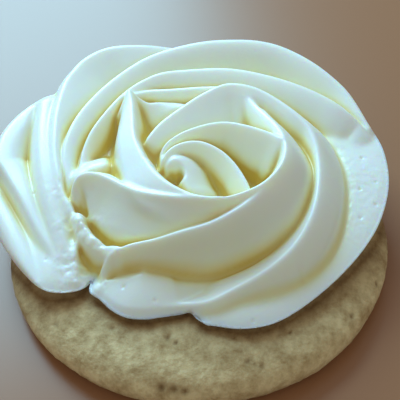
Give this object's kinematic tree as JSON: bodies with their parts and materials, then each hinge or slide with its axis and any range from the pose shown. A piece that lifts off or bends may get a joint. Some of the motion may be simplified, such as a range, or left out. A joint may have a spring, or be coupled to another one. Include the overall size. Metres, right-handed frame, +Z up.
{
  "type": "iced sugar cookie",
  "caption": "Thick round soft sugar cookie under a wide piped rosette of pale buttercream icing, whose folds spiral out to a broken rope end.",
  "frame": {"origin": "centre of the cookie's flat underside", "axes": "+Z up out of the icing; the broken end of the rosette lies at the front left, towards -X and -Y"},
  "size_m": [0.0816, 0.0854, 0.0261],
  "materials": {
    "baked_crumb": "matte baked crumb, pale tan with browner patches",
    "buttercream": "soft satin cream, light passes a little way in"
  },
  "bodies": {
    "root": {"cookie": "baked_crumb", "icing": "buttercream"}
  },
  "joints": []
}
